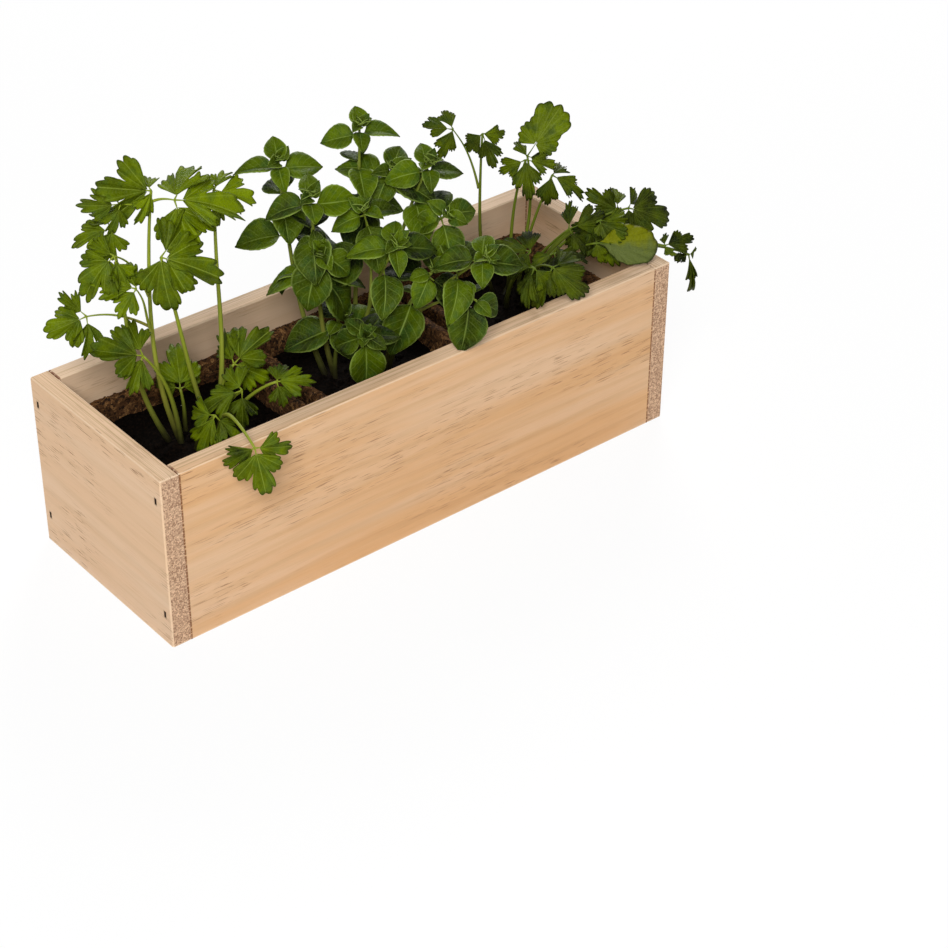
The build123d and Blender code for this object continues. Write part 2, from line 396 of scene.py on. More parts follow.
def pine(node, board):
    """Pine with its grain along X or Y. The heart is the tree's middle across the grain and up, in mm."""
    wood = Finish(node + "_pine")
    x, y, z = wood.parts(wood.place())
    worn_and_lit = worn_and_lit_edges(node, (x, y, z))
    along, across = (x, y) if board.grain == "X" else (y, x)
    along = along + board.shift
    normal = wood.parts(wood.node("NewGeometry", None, None, "Normal"))
    end = abs(normal["XY".index(board.grain)]).rise(*FACING)
    top = normal[2].rise(*FACING)

    wander = wood.noise(wood.vector(along * 0.006, across * 0.02, z * 0.02), 2.0)
    side = across - board.heart[0]
    height = z - board.heart[1]
    ring = (((side * side + height * height).root() + (wander - 0.5) * RING_WANDER) / RING_WIDTH).fraction()
    late = ring.rise(0.5, 0.93) * (1.0 - ring.rise(0.95, 1.0))
    bands = wood.noise(wood.vector(along * 0.005, across * 0.07, z * 0.07), 3.0)
    fibres = wood.noise(wood.vector(along * 0.045, across * 1.9, z * 1.9), 3.0, 0.6)
    dash = wood.noise(wood.vector(along * 0.075 + 40.0, across * 2.3, z * 2.3), 1.0)
    herd = wood.noise(wood.vector(along * 0.016, across * 0.05, z * 0.045 + 9.0), 1.0)
    dashes = dash.rise(0.61, 0.68) * herd.rise(0.46, 0.62)
    lines = wood.noise(wood.vector(along * 0.012, across * 1.7, z * 0.2), 2.0).rise(0.46, 0.62)

    # Painted light: top faces take only half the honey warmth, so they are paler, as where light falls from
    # above.
    honey = bands.rise(0.34, 0.68) * board.banded + (1.0 - top * 0.5) * board.warmth
    colour = wood.mix(honey, PINE_PALE, PINE_HONEY)
    colour = wood.mix(late * (bands * 0.5 + 0.08) * board.banded, colour, PINE_LATE)
    colour = wood.mix(fibres.rise(0.52, 0.78) * 0.3, colour, PINE_LATE)
    colour = wood.mix((1.0 - fibres.rise(0.22, 0.46)) * 0.22, colour, PINE_PALE)
    colour = wood.mix(dashes * board.flecked * (1.0 - top * 0.7), colour, PINE_DASH)
    colour = wood.mix(lines * (top * 0.42 + 0.08), colour, PINE_EDGE_LINE)

    specks = wood.flecks(wood.vector(along * 0.2, across * 1.7, z * 1.7))
    cut = wood.mix(specks * 0.7 + fibres * 0.3, PINE_END_DARK, PINE_END_PALE)
    colour = wood.mix(end * 0.9, colour, cut)
    # Worn edges with a painted highlight: the eased edges are paler from wear, and also as where they catch
    # the light.
    colour = wood.mix(worn_and_lit * (0.25 + fibres * 0.7), colour, PINE_WORN_AND_LIT)
    if board.grain == "X":
        # Painted shadow: a dotted dark line where a side board meets an end board stands in for the shadow in
        # the joint.
        seam = abs(x).rise(SIDE_BOARD_END - 1.0, SIDE_BOARD_END - 0.5)
        dots = wood.noise(wood.vector(y * 0.9, z * 0.9, x * 0.1), 1.0)
        colour = wood.mix(seam * dots.rise(0.3, 0.55) * 0.9, colour, SEAM_SHADOW)
    else:
        colour = wood.mix(brad_slots(node, (x, y, z)), colour, BRAD_SLOT)

    wood.set(Base_Color=colour, Roughness=0.58 + fibres * 0.16 + end * 0.12, Specular_IOR_Level=0.25)
    wood.bump(fibres * 0.5 + late * 0.2 - dashes * 0.6 + specks * end, 0.00022, 0.6)
    return wood.made


print("pine: rings", RING_WIDTH, "mm apart")

# %% Boards
Board = namedtuple("Board", "grain heart warmth banded flecked shift")
BOARDS = {
    "front_board": Board("X", (-160.0, -60.0), 0.40, 0.40, 0.6, 0.0),
    # Painted light: the rear board gets the least warmth, so it is paler, which makes up for the shade on its
    # inner face.
    "rear_board": Board("X", (190.0, 30.0), 0.08, 0.2, 0.3, 310.0),
    "left_end_board": Board("Y", (-230.0, -20.0), 0.20, 0.2, 0.9, 120.0),
    "right_end_board": Board("Y", (240.0, 110.0), 0.18, 0.25, 0.5, 530.0),
    "base_panel": Board("X", (10.0, -90.0), 0.2, 0.3, 0.3, 700.0),
}


def dress(node, material):
    """Gives a CAD node a new finish."""
    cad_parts[node].data.materials[0] = material


for board_node, board in BOARDS.items():
    dress(board_node, pine(board_node, board))
print("boards:", len(BOARDS), "dressed in pine")

# %% [markdown]
# ## Brads
# Each end board is held by four brads, small T-shaped nails sunk just under the surface. They are plain steel
# that has gone dull and brown in its slot, so a rough metal with a rust noise is enough.


# %% Brads
def brad_steel():
    steel = Finish("brad_steel")
    rust = steel.noise(steel.place(), 3.0, scale=1.3).rise(0.4, 0.62)
    steel.set(Base_Color=steel.mix(rust, seen(30, 22, 18), seen(44, 24, 14)))
    steel.set(Roughness=0.42 + rust * 0.4, Metallic=0.5 - rust * 0.4)
    steel.bump(rust, 0.00008)
    return steel.made


for brad_node in ("left_end_brads", "right_end_brads"):
    dress(brad_node, brad_steel())
print("brads: 8, dull steel")

# %% [markdown]
# ## Grids of points
# Pots, compost and leaves are grids of points, bent into shape. Blender's own grid and its modifiers could do
# that too, but a grid in an array lets one formula place every point.


# %% Grids of points
def quads(rows, columns, closed=False):
    """The faces of a grid of points that are listed row by row."""
    width = columns if closed else columns - 1
    faces = []
    for r in range(rows - 1):
        for c in range(width):
            d = (c + 1) % columns
            faces.append((r * columns + c, r * columns + d, (r + 1) * columns + d, (r + 1) * columns + c))
    return faces


def rim_of(rows, columns):
    """The points round the edge of a grid, in order."""
    grid = np.arange(rows * columns).reshape(rows, columns)
    return np.concatenate([grid[0, :-1], grid[:-1, -1], grid[-1, :0:-1], grid[:0:-1, 0]])


def units(vectors):
    return vectors / np.maximum(np.linalg.norm(vectors, axis=-1, keepdims=True), 1e-12)


def grid_normals(grid):
    return units(np.cross(np.gradient(grid, axis=0), np.gradient(grid, axis=1)))


def even_steps(line, count, closed=False):
    """Points spaced evenly along a line. A closed line comes back to its start, which is given once."""
    run = np.concatenate([[0], np.cumsum(np.linalg.norm(np.diff(line, axis=0), axis=1))])
    at = np.linspace(0, run[-1], count, endpoint=not closed)
    return np.stack([np.interp(at, run, line[:, k]) for k in range(line.shape[1])], axis=1)


print("grids: 3 by 3 points have", len(quads(3, 3)), "faces and", len(rim_of(3, 3)), "points at the edge")

# %% [markdown]
# ## Gathering a mesh
# Pots, stalks and leaves are made of a few kinds of surface: grids, thin sheets with two sides, and tubes.
# One class gathers them for a piece. At each point it also keeps three marks that the finish reads, such as
# how far along a leaf the point is, so that veins follow the leaf however it bends.

# %% Gathering a mesh
ASKEW = (0.31, 0.52, 0.79)
MIDDLE_TONE = (0, 0, 0.5)


class Skin:
    """The points, faces and marks of one piece."""

    def __init__(self):
        self.points = []
        self.marks = []
        self.faces = []
        self.finish = []
        self.count = 0

    def add(self, points, faces, marks, finish=0):
        self.points.append(np.asarray(points, float).reshape(-1, 3))
        self.marks.append(np.broadcast_to(np.asarray(marks, float).reshape(-1, 3), self.points[-1].shape))
        self.faces += [tuple(int(i) + self.count for i in face) for face in faces]
        self.finish += [finish] * len(faces)
        self.count += len(self.points[-1])

    def sheet(self, grid, marks, thickness):
        """A thin sheet over a grid of points, with the second finish on its under side."""
        rows, columns = grid.shape[:2]
        normals = grid_normals(grid)
        flat = marks.reshape(-1, 3)
        size = rows * columns
        rim = rim_of(rows, columns) + self.count
        self.add(grid + normals * thickness / 2, quads(rows, columns), flat)
        self.add(grid - normals * thickness / 2, [face[::-1] for face in quads(rows, columns)], flat, 1)
        for a, b in zip(rim, np.roll(rim, -1)):
            self.faces.append((int(b), int(a), int(a) + size, int(b) + size))
            self.finish.append(0)

    def tube(self, path, radii, marks, sides, shape=None, finish=0):
        """A tube round a path with its own radius at each point; shape gives its section by angle."""
        path = np.asarray(path, float)
        ahead = units(np.gradient(path, axis=0))
        across = np.cross(ahead[0], ASKEW)
        angles = np.linspace(0, 2 * math.pi, sides, endpoint=False)
        section = np.ones(sides) if shape is None else shape(angles)
        rings = []
        for point, forward, radius in zip(path, ahead, radii):
            across = units(across - forward * np.dot(across, forward))
            other = np.cross(forward, across)
            spoke = np.outer(np.cos(angles), across) + np.outer(np.sin(angles), other)
            rings.append(point + spoke * (section * radius)[:, None])
        last = (len(path) - 1) * sides
        faces = quads(len(path), sides, closed=True)
        faces.append(tuple(range(sides))[::-1])
        faces.append(tuple(range(last, last + sides)))
        self.add(rings, faces, np.repeat(np.asarray(marks, float), sides, axis=0), finish)

    def piece(self, name, body, node, slot, materials):
        """Makes the piece, rides it on its body and hides the CAD node that it takes the place of."""
        mesh = bpy.data.meshes.new(name)
        mesh.from_pydata(np.concatenate(self.points), [], self.faces)
        mesh.attributes.new("marks", "FLOAT_VECTOR", "POINT").data.foreach_set(
            "vector", np.concatenate(self.marks).astype(np.float32).ravel())
        for material in materials:
            mesh.materials.append(material)
        mesh.polygons.foreach_set("material_index", self.finish)
        mesh.polygons.foreach_set("use_smooth", [True] * len(self.faces))
        made = bpy.data.objects.new(name, mesh)
        bpy.context.collection.objects.link(made)
        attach(made, body)
        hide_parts(node)


print("a skin gathers", [name for name in vars(Skin) if not name.startswith("_")])

# %% [markdown]
# ## Coir pots
# Each pot is pressed from coconut fibre and latex: a square cup with a rough, slightly wavy rim. The cup is a
# grid of rings that goes up the outside, over the rim and down the inside, pushed in and out by noise. A
# Displace modifier would do the same, but then the fibres couldn't follow the same bumps.

# %% Pot profile
POT_WALL_RINGS = 15
POT_RIM_RINGS = 6
POT_INSIDE_RINGS = 9
POT_INSIDE = 24 * MM
POT_FOOT_EASE = 2 * MM
POT_FOOT_RISE = 1 * MM
POT_SHOULDER = 1.5 * MM
POT_RIM_TURN = 0.15
POT_RIM_DROP = 1.2 * MM
POT_RIM_BULGE = 1.5 * MM
POT_LIP = 2 * MM
POT_CORNER = 8 * MM
POT_CORNER_LEAST = 2.5 * MM
CORNER_POINTS = 9
SAME_LEVEL = 0.01 * MM


def rounded_square(half, corner, count):
    """Points spaced evenly round a square with round corners."""
    turns = np.linspace(0, math.pi / 2, CORNER_POINTS)
    outline = []
    for k in range(4):
        quarter = k * math.pi / 2
        middle = np.array([math.cos(quarter + math.pi / 4), math.sin(quarter + math.pi / 4)])
        middle = middle * (half - corner) * math.sqrt(2)
        outline += [middle + corner * np.array([math.cos(quarter + t), math.sin(quarter + t)]) for t in turns]
    return even_steps(np.array(outline + outline[:1]), count, closed=True)


def pot_sizes(node):
    """The CAD pot's middle, rim height and foot height, and half its width: rim outside, inside, and foot."""
    low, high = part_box(node)
    corners = np.array([v.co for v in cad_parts[node].data.vertices])
    middle = (low + high) / 2
    reach = np.abs(corners[:, :2] - np.array(middle[:2])).max(axis=1)
    foot = reach[corners[:, 2] < low.z + SAME_LEVEL].max()
    rim = reach[corners[:, 2] > high.z - SAME_LEVEL]
    return middle, high.z, low.z, rim.max(), rim.min(), foot


def pot_profile(top, bottom, outer, inner, foot):
    """Half the width and the height of each ring: up the outside, over the rim and down the inside."""
    slope = (outer - foot) / (top - bottom)
    wall = outer - inner
    profile = [(foot - POT_FOOT_EASE, bottom)]
    for z in np.linspace(bottom + POT_FOOT_RISE, top - POT_SHOULDER, POT_WALL_RINGS):
        profile.append((foot + slope * (z - bottom), z))
    for turn in np.linspace(POT_RIM_TURN, math.pi - POT_RIM_TURN, POT_RIM_RINGS):
        half = outer - wall / 2 + wall / 2 * math.cos(turn)
        profile.append((half, top - POT_RIM_DROP + POT_RIM_BULGE * math.sin(turn)))
    for z in np.linspace(top - POT_LIP, top - POT_INSIDE, POT_INSIDE_RINGS):
        profile.append((inner - slope * (top - z), z))
    return profile


print("pot profile:", len(pot_profile(*pot_sizes("basil_fibre_pot")[1:])), "rings")

# %% Pot grid
POT_RING_POINTS = 176
POT_ROUGH = 0.6 * MM
POT_RIM_WAVE = 0.7 * MM
POT_WAVE_REACH = 9 * MM
POT_NOISE_FROM = 3.0
POT_NOISE_STEP = 17.0


def pot_grid(node, seed):
    """The rings of a pot as a grid of points, roughened by noise, with a rim that waves."""
    middle, top, bottom, outer, inner, foot = pot_sizes(node)
    rings = []
    for half, z in pot_profile(top, bottom, outer, inner, foot):
        ring = rounded_square(half, max(POT_CORNER - (outer - half), POT_CORNER_LEAST), POT_RING_POINTS)
        rings.append(np.column_stack([ring + np.array(middle[:2]), np.full(len(ring), z)]))
    grid = np.array(rings)
    normals = -grid_normals(grid)
    rough = np.zeros(grid.shape[:2])
    for r, c in np.ndindex(rough.shape):
        at = Vector(grid[r, c]) * TO_MM
        coarse = noise.noise(at * 0.16 + Vector((seed, 0, 0)))
        fine = noise.noise(at * 0.8 + Vector((0, seed, 0)))
        rough[r, c] = POT_ROUGH * (0.6 * coarse + 0.5 * fine)
        near_rim = max(0.0, 1 - abs(grid[r, c, 2] - top) / POT_WAVE_REACH)
        wave = noise.noise(Vector((grid[r, c, 0] * 60, grid[r, c, 1] * 60, seed)))
        grid[r, c, 2] += POT_RIM_WAVE * near_rim * wave
    return grid + normals * rough[..., None]


cups = [pot_grid(herb + "_fibre_pot", k * POT_NOISE_STEP + POT_NOISE_FROM) for k, herb in enumerate(HERBS)]
print("pots:", len(cups), "of", cups[0].shape[0], "rings with", cups[0].shape[1], "points")

# %% [markdown]
# ## Husk and fibres
# Crumbs of husk stick to the felt, and loose strands lie all over it. Hair particles could make the strands,
# but the export needs real meshes, so the strands are thin tubes whose paths wander over the pot's grid.

# %% Crumbs of husk
CRUMB_SEEDS = (0, 50)
PITH_CRUMBS = 520
PITH_FROM = 14
PITH_SIZE = (0.35 * MM, 1.0 * MM)


def on_grid(grid, row, column):
    """The point at a fractional row and column of a grid whose columns go round."""
    r = int(min(max(row, 0), grid.shape[0] - 1.001))
    c = int(math.floor(column))
    v = row - r
    u = column - c
    width = grid.shape[1]
    near = grid[r, c % width] * (1 - u) + grid[r, (c + 1) % width] * u
    far = grid[r + 1, c % width] * (1 - u) + grid[r + 1, (c + 1) % width] * u
    return near * (1 - v) + far * v


def crumb_shape():
    ball = bmesh.new()
    bmesh.ops.create_icosphere(ball, subdivisions=2, radius=1.0)
    points = np.array([v.co for v in ball.verts])
    faces = [tuple(v.index for v in face.verts) for face in ball.faces]
    ball.free()
    return points, faces


CRUMB = crumb_shape()


def crumb(skin, at, size, seed, finish):
    """A ball with dents and a stretch of its own."""
    points, faces = CRUMB
    shift = Vector((seed * 3.1, seed * 1.7, 0))
    swell = np.array([0.78 + 0.4 * noise.noise(Vector(p) * 1.3 + shift) for p in points])
    stretch = np.array([1 + 0.3 * math.sin(seed), 1 + 0.3 * math.cos(seed * 1.9), 0.72])
    tone = (seed * 0.618) % 1
    skin.add(np.array(at) + points * swell[:, None] * stretch * size, faces, (0, 0, tone), finish)


def pith(skin, grid, seed):
    """Crumbs of husk that stick out of the felt on the rim and the inside."""
    rng = random.Random(seed)
    for k in range(PITH_CRUMBS):
        row = rng.uniform(PITH_FROM, grid.shape[0] - 2)
        column = rng.uniform(0, grid.shape[1])
        size = rng.uniform(*PITH_SIZE)
        crumb(skin, on_grid(grid, row, column), size, rng.uniform(*CRUMB_SEEDS), 0)


print("husk:", PITH_CRUMBS, "crumbs to a pot, each of", len(CRUMB[0]), "points")

# %% Strands
STRANDS = 900
STRAND_STEPS = 6
STRAND_LEAST = 3
STRAND_SIDES = 4
STRAND_RADIUS = (0.10 * MM, 0.20 * MM)
STRAND_LENGTH = (5 * MM, 17 * MM)
STRAND_BEND = 0.35
STRAND_OFF = 0.08 * MM
STRAND_LIFT = 1.6 * MM
STRAND_END = 0.45


def strands(skin, grid, seed):
    """Loose fibres that wander over the pot's skin, some with an end that stands off."""
    rng = random.Random(seed)
    normals = -grid_normals(grid)
    rows = np.linalg.norm(np.diff(grid, axis=0), axis=2).mean(axis=1)
    column_step = np.linalg.norm(np.diff(grid, axis=1), axis=2).mean()
    for k in range(STRANDS):
        row = rng.uniform(1, grid.shape[0] - 2)
        column = rng.uniform(0, grid.shape[1])
        heading = rng.uniform(0, 2 * math.pi)
        length = rng.uniform(*STRAND_LENGTH)
        bend = rng.uniform(-STRAND_BEND, STRAND_BEND)
        lift = rng.uniform(0.05, 0.5) ** 2 * STRAND_LIFT
        path = []
        for step in range(STRAND_STEPS + 1):
            if not 1 <= row <= grid.shape[0] - 2:
                break
            off = STRAND_OFF + lift * (step / STRAND_STEPS) ** 2
            path.append(on_grid(grid, row, column) + on_grid(normals, row, column) * off)
            heading += bend
            row += math.sin(heading) * length / STRAND_STEPS / rows[int(row)]
            column += math.cos(heading) * length / STRAND_STEPS / column_step
        if len(path) > STRAND_LEAST:
            radii = rng.uniform(*STRAND_RADIUS) * np.linspace(1.0, STRAND_END, len(path))
            skin.tube(path, radii, [(0, 0, rng.random())] * len(path), STRAND_SIDES, finish=1)


print("strands: up to", STRANDS, "to a pot")

# %% [markdown]
# ## Coir
# Coir is a mat of browns, from nearly black between the fibres to straw on them. Two noises and small cells
# mix three browns, and the marks give each strand a tone of its own. An even brown would look like card.

# %% Coir
FELT_BROWNS = (seen(20, 11, 5), seen(92, 60, 33), seen(178, 134, 84))
STRAND_BROWNS = (seen(44, 25, 11), seen(112, 73, 38), seen(172, 130, 80))
FELT_MATTED = 0.85
STRAND_MATTED = 0.2
PITH_SEED = 60
STRAND_SEED = 40


def coir(name, browns, matted):
    felt = Finish(name)
    place = felt.place()
    x, y, z = felt.parts(place)
    tone = felt.marks()[2]
    mat = felt.noise(place, 5.0, 0.8, 1.1)
    tufts = felt.noise(felt.vector(x * 0.12, y * 0.12, z * 0.12 + 5.0), 2.0)
    husk = felt.flecks(place, 0.75)
    shade = tone * (1 - matted) + (mat.rise(0.36, 0.64) * 0.4 + husk * 0.6) * matted
    colour = felt.mix(shade.rise(0.15, 0.6), browns[0], browns[1])
    colour = felt.mix(shade.rise(0.55, 0.95) * 0.85, colour, browns[2])
    colour = felt.mix(tufts.rise(0.45, 0.7) * 0.35, colour, browns[0])
    felt.set(Base_Color=colour, Roughness=0.86 + mat * 0.1, Specular_IOR_Level=0.15)
    felt.bump(mat * 0.6 + husk * 0.5, 0.0012, 1.0)
    return felt.made


coirs = [coir("coir_felt", FELT_BROWNS, FELT_MATTED), coir("coir_strand", STRAND_BROWNS, STRAND_MATTED)]
for seed, (herb, cup) in enumerate(zip(HERBS, cups)):
    skin = Skin()
    faces = [face[::-1] for face in quads(*cup.shape[:2], closed=True)]
    foot_ring = tuple(range(cup.shape[1]))
    skin.add(cup, faces + [foot_ring], MIDDLE_TONE)
    pith(skin, cup, PITH_SEED + seed)
    strands(skin, cup, STRAND_SEED + seed)
    skin.piece(herb + "_coir_pot", herb + "_pot", herb + "_fibre_pot", "coir_fibre", coirs)
    print(herb, "pot:", skin.count, "points")

# %% [markdown]
# ## Compost
# The compost is moist and almost black, with a lumpy top. A grid pushed up and down by noise gives the lie of
# it, and some two hundred crumbs of uneven size make it crumbly at its edges and in a raking light. A bump
# alone would leave a flat rim where it meets the pot.

# %% Compost shape
COMPOST_GRID = 56
COMPOST_LUMPS = 1.5 * MM
COMPOST_SINK = 0.4 * MM
COMPOST_GAP = 0.1 * MM
COMPOST_DEPTH = 12 * MM
COMPOST_INWARD = 0.97
COMPOST_SEED = 70
CRUMBS = 210
CRUMB_SIZE = (0.5 * MM, 2.3 * MM)
CRUMB_STANDS = 0.25
CRUMB_EDGE = 2.2 * MM
PALE_GRAINS = 7
PALE_GRAIN_SIZE = 0.5 * MM


def compost_top(x, y, top, seed):
    at = Vector((x, y, 0)) * TO_MM
    lumps = noise.fractal(at * 0.09 + Vector((seed, seed, 0)), 0.8, 2.0, 4)
    return top - COMPOST_SINK + COMPOST_LUMPS * lumps


def compost_bed(skin, middle, half, height, seed):
    """The lumpy top, with a wall and a flat foot under it."""
    top = []
    for v in np.linspace(-1, 1, COMPOST_GRID):
        for u in np.linspace(-1, 1, COMPOST_GRID):
            pull = 1 - 0.025 * (u * v) ** 4
            x = middle.x + half * u * pull
            y = middle.y + half * v * pull
            top.append((x, y, compost_top(x, y, height, seed)))
    top = np.array(top)
    rim = rim_of(COMPOST_GRID, COMPOST_GRID)
    centre = np.array(middle[:2])
    foot = top[rim]
    foot[:, :2] = centre + (foot[:, :2] - centre) * COMPOST_INWARD
    foot[:, 2] = height - COMPOST_DEPTH
    faces = quads(COMPOST_GRID, COMPOST_GRID)
    size = len(top)
    for k in range(len(rim)):
        n = (k + 1) % len(rim)
        faces.append((rim[n], rim[k], size + k, size + n))
    faces.append(tuple(range(size + len(rim) - 1, size - 1, -1)))
    skin.add(np.concatenate([top, foot]), faces, MIDDLE_TONE)


def compost_crumbs(skin, middle, reach, height, seed):
    """Crumbs all over the top, most of them small, and a few pale grains."""
    rng = random.Random(COMPOST_SEED + seed)
    for k in range(CRUMBS + PALE_GRAINS):
        pale = k >= CRUMBS
        x = middle.x + rng.uniform(-reach, reach)
        y = middle.y + rng.uniform(-reach, reach)
        size = CRUMB_SIZE[0] + (CRUMB_SIZE[1] - CRUMB_SIZE[0]) * rng.random() ** 3
        size = PALE_GRAIN_SIZE if pale else size
        z = compost_top(x, y, height, seed) + size * CRUMB_STANDS
        crumb(skin, (x, y, z), size, rng.uniform(*CRUMB_SEEDS), int(pale))


print("compost:", CRUMBS, "crumbs and", PALE_GRAINS, "pale grains to a pot")


# %% Compost finish
def compost_earth():
    earth = Finish("compost_earth")
    place = earth.place()
    tone = earth.marks()[2]
    grit = earth.noise(place, 6.0, 0.72, 0.7)
    damp = earth.noise(place, 2.0, scale=0.05)
    colour = earth.mix(grit.rise(0.35, 0.75), seen(4, 3, 2), seen(22, 15, 11))
    colour = earth.mix(tone * grit.rise(0.5, 0.8) * 0.5, colour, seen(60, 42, 28))
    earth.set(Base_Color=colour, Roughness=0.75 + damp * 0.25, Specular_IOR_Level=0.03)
    earth.bump(grit, 0.0012, 1.0)
    return earth.made


def pale_grain():
    grain = Finish("pale_grain")
    dust = grain.noise(grain.place(), 3.0, scale=2.0)
    grain.set(Base_Color=grain.mix(dust, seen(150, 138, 120), seen(204, 198, 188)), Roughness=0.8)
    return grain.made


compost_finishes = [compost_earth(), pale_grain()]
for seed, herb in enumerate(HERBS):
    low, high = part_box(herb + "_compost")
    middle = (low + high) / 2
    half = (high.x - low.x) / 2 - COMPOST_GAP
    skin = Skin()
    compost_bed(skin, middle, half, high.z, seed)
    compost_crumbs(skin, middle, half - CRUMB_EDGE, high.z, seed)
    skin.piece(herb + "_soil", herb + "_pot", herb + "_compost", "compost", compost_finishes)
    print(herb, "compost:", skin.count, "points")

# %% [markdown]
# ## Reading the herbs from the frame
# The CAD stems are plain arcs and the CAD leaves are flat plates, in the right places. So the real ones can
# be grown from them, and no list of places is needed here. A stem's middle line is the row of middles of its
# rings, found by walking from one end cap to the other. A plate is a mirror image of itself about its own
# axis, which gives its tip and its foot.

# %% Stem lines
WELD = 0.002 * MM
SHARP = math.radians(60)


def welded(node):
    """The node's solids as one mesh, with the corners of its triangles joined up."""
    solids = bmesh.new()
    solids.from_mesh(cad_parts[node].data)
    bmesh.ops.remove_doubles(solids, verts=solids.verts, dist=WELD)
    return solids


def ring_after(ring, done, edges_of):
    """The corners next to a ring of corners that aren't done yet."""
    return {edge.other_vert(corner) for corner in ring for edge in edges_of(corner)} - done


def stem_lines(node):
    """The middle line of each stem, from one of its ends to the other."""
    solids = welded(node)
    rims = {}
    for edge in solids.edges:
        if edge.calc_face_angle(0.0) > SHARP:
            for corner in edge.verts:
                rims.setdefault(corner, []).append(edge)
    lines = []
    done = set()
    for first in rims:
        ring = set()
        more = {first} - done
        while more:
            ring |= more
            more = ring_after(more, ring, rims.get)
        line = []
        while ring:
            line.append(np.mean(sorted(corner.co[:] for corner in ring), axis=0))
            done |= ring
            ring = ring_after(ring, done, lambda corner: corner.link_edges)
        if line:
            lines.append(np.array(line))
    solids.free()
    return lines


def upward(lines, ground):
    """Turns each line so that it starts in the compost or on the stem that it branches from."""
    turned = []
    for k, line in enumerate(lines):
        others = np.concatenate([other for n, other in enumerate(lines) if n != k])
        ends = line[[0, -1]]
        if ends[:, 2].min() < ground:
            swap = ends[0, 2] > ends[1, 2]
        else:
            gaps = [np.linalg.norm(others - end, axis=1).min() for end in ends]
            swap = gaps[0] > gaps[1]
        turned.append(line[::-1] if swap else line)
    return turned


GROUND = {herb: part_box(herb + "_compost")[1].z for herb in HERBS}
stems = {herb: upward(stem_lines(herb + "_stems"), GROUND[herb]) for herb in HERBS}
print("stems:", {herb: len(lines) for herb, lines in stems.items()})

# %% Leaf plates
FLAT = 0.002
OUTLINE_LEAST = 9
Blade = namedtuple("Blade", "foot along normal length")


def lopsided(outline, i):
    """How far an outline is from a mirror image of itself about its corner i."""
    steps = range(1, len(outline) // 2 + 1)
    ahead = [(outline[(i + k) % len(outline)] - outline[i]).length for k in steps]
    behind = [(outline[i - k] - outline[i]).length for k in steps]
    return sum(abs(a - b) for a, b in zip(ahead, behind))


def blades_of(node):
    """Foot, axis, upper side and length of each leaf plate. The upper side is the one towards the light."""
    solids = welded(node)
    bmesh.ops.dissolve_limit(solids, angle_limit=FLAT, verts=solids.verts, edges=solids.edges)
    found = []
    for face in solids.faces:
        if len(face.verts) < OUTLINE_LEAST or face.normal.dot(WINDOW) <= 0:
            continue
        outline = [v.co.copy() for v in face.verts]
        count = len(outline)
        tip = min(range(count), key=lambda i: lopsided(outline, i))
        foot = (outline[(tip + count // 2) % count] + outline[tip - count // 2]) / 2
        run = outline[tip] - foot
        found.append(Blade(np.array(foot), np.array(run.normalized()), np.array(face.normal), run.length))
    solids.free()
    return found


blades = {herb: blades_of(herb + "_leaves") for herb in HERBS}
for herb in HERBS:
    lengths = [round(blade.length / MM) for blade in blades[herb]]
    print(herb, len(lengths), "blades of", min(lengths), "to", max(lengths), "mm")

# %% [markdown]
# ## Stalks
# Parsley and coriander have ribbed, juicy stalks, and basil's are square. Each is a tube along its line that
# thins towards the tip. A curve with a bevel would be shorter to write, but a mesh tube can have ribs.

# %% Stalk shape
STALK_STEPS = 17
STALK_SIDES = 12
STALK_TAPER = 0.55
STALK_SWAY = 0.012
ROOT_SWELL = 0.3
ROOT_FADE = 9


def ribbed(angles):
    return 1 + 0.09 * np.cos(6 * angles)


def squarish(angles):
    return 0.88 / np.maximum(np.abs(np.cos(angles)), np.abs(np.sin(angles))) ** 0.6


STALK_SECTION = {"parsley": ribbed, "basil": squarish, "coriander": ribbed}
STALK_RADIUS = {
    "parsley": (1.2 * MM, 0.66 * MM),
    "basil": (1.35 * MM, 0.85 * MM),
    "coriander": (1.0 * MM, 0.6 * MM),
}


def stalk(skin, herb, line, rng):
    path = even_steps(line, STALK_STEPS)
    share = np.linspace(0, 1, STALK_STEPS)
    rooted = path[0, 2] < GROUND[herb]
    aside = np.array([rng.uniform(-1, 1), rng.uniform(-1, 1), 0])
    sway = aside * STALK_SWAY * np.linalg.norm(path[-1] - path[0])
    path = path + np.sin(2 * math.pi * share)[:, None] * sway
    radius = STALK_RADIUS[herb][0 if rooted else 1]
    swell = ROOT_SWELL * rooted * np.exp(-share * ROOT_FADE)
    radii = radius * (1 - STALK_TAPER * share + swell)
    marks = np.column_stack([share, np.full(STALK_STEPS, float(rooted)), np.full(STALK_STEPS, rng.random())])
    skin.tube(path, radii, marks, STALK_SIDES, STALK_SECTION[herb])


print("stalks:", STALK_SIDES, "sides and", STALK_STEPS, "rings each")

# %% [markdown]
# ## Stalk flesh
# A stalk is pale where it leaves the ground and greener above, some with a brown blush, and soiled at its
# foot. Painted shade makes it darker green towards the compost, deep in the pot. The marks tell how far along
# its stalk a point is, and the place tells how high over the compost. A ramp along each stalk alone would
# leave the soil at a different height on every one.

# %% Stalk flesh
STALK_SOIL = seen(22, 17, 10)
STALK_SHADE = seen(36, 38, 10)
STALK_SEED = 200
Flesh = namedtuple("Flesh", "pale green blush")
STALK_COLOURS = {
    "parsley": Flesh(seen(156, 162, 66), seen(126, 141, 30), seen(128, 102, 42)),
    "basil": Flesh(seen(136, 138, 62), seen(100, 114, 26), seen(118, 100, 50)),
    "coriander": Flesh(seen(124, 134, 44), seen(84, 102, 16), seen(106, 92, 40)),
}


